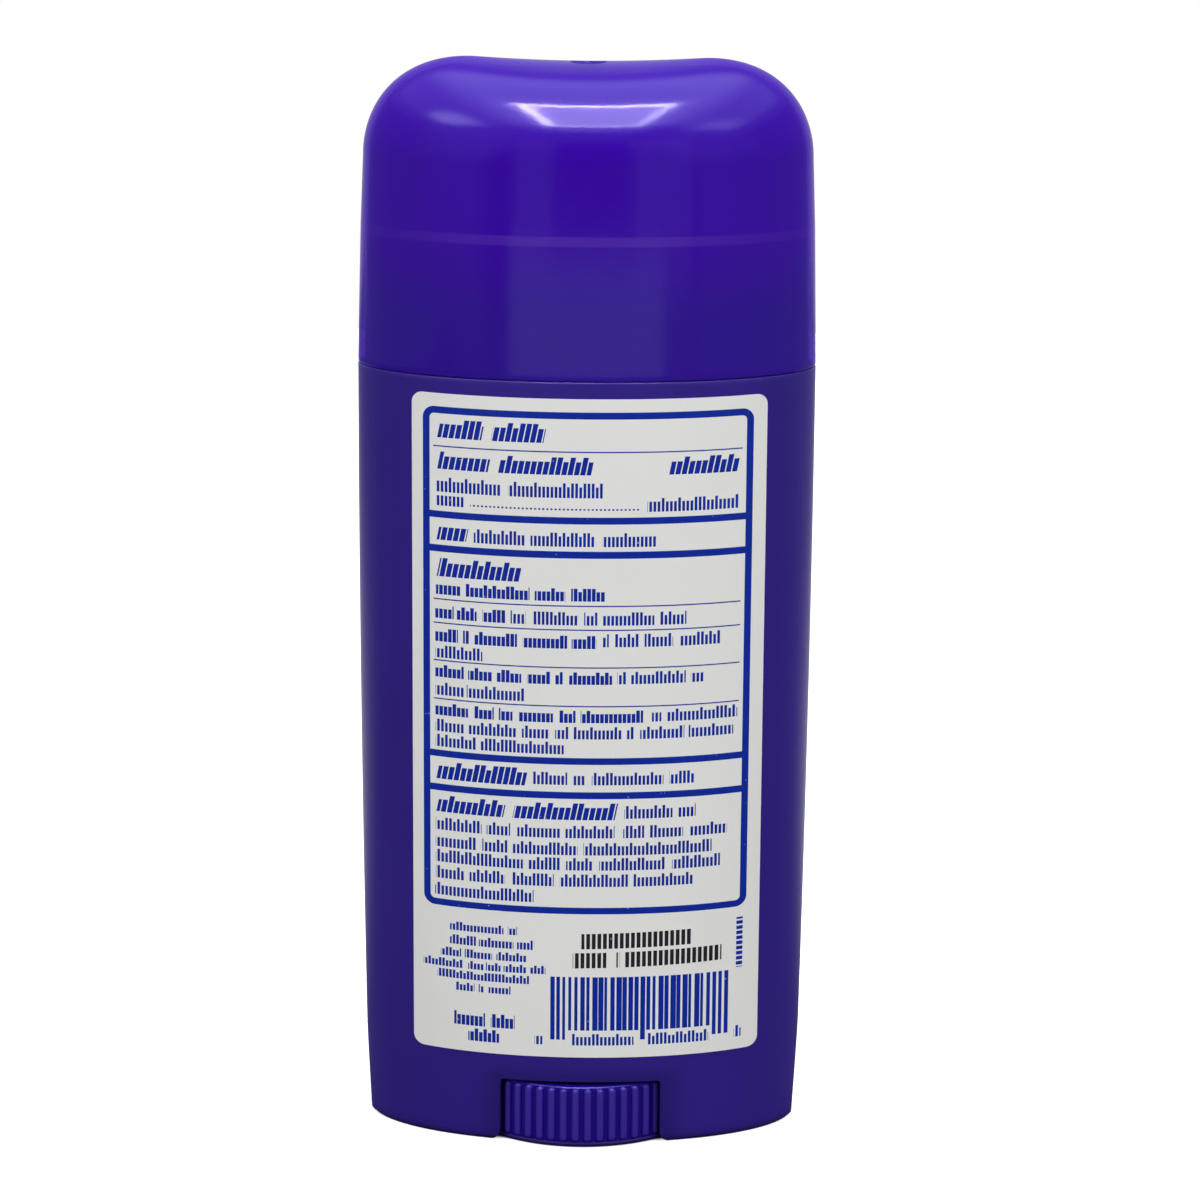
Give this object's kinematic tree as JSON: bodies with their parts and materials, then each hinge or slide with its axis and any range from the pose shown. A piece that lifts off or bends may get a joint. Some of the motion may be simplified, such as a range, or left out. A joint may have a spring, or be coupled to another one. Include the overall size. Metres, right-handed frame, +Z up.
{
  "type": "deodorant stick",
  "caption": "Oval dial-up stick pack: saddle-topped lift-off cap, drafted barrel with thumb windows, ribbed dial with screw, elevator and domed stick.",
  "frame": {"origin": "middle of the base, on the surface it stands on", "axes": "+Z up along the barrel, +X along the wide side, the label faces -Y"},
  "size_m": [0.0636, 0.035, 0.1514],
  "materials": {
    "barrel_plastic": "moulded purple polypropylene, satin",
    "dial_plastic": "moulded purple polypropylene, satin",
    "elevator_plastic": "natural white moulding",
    "stick_wax": "pressed wax, soft matt",
    "cap_plastic": "translucent violet polypropylene, fine gloss",
    "label_paper": "white coated paper with blue printed fields"
  },
  "bodies": {
    "barrel": {"barrel": "barrel_plastic", "label": "label_paper"},
    "dial": {"dial": "dial_plastic"},
    "carriage": {"elevator": "elevator_plastic", "stick": "stick_wax"},
    "cap": {"cap": "cap_plastic"}
  },
  "joints": [
    {"name": "dial_turn", "type": "hinge", "parent": "barrel", "child": "dial", "pos_m": [0, 0, 0.005], "axis": [0, 0, 1], "range_deg": [0, 3600]},
    {"name": "elevator_rise", "type": "slide", "parent": "barrel", "child": "carriage", "axis": [0, 0, 1], "range_m": [0, 0.05]},
    {"name": "cap_lift", "type": "slide", "parent": "carriage", "child": "cap", "axis": [0, 0, 1], "range_m": [0, 0.045]}
  ],
  "couplings": [
    {"joint": "elevator_rise", "follows": "dial_turn", "m_per_rad": 0.00079577}
  ]
}
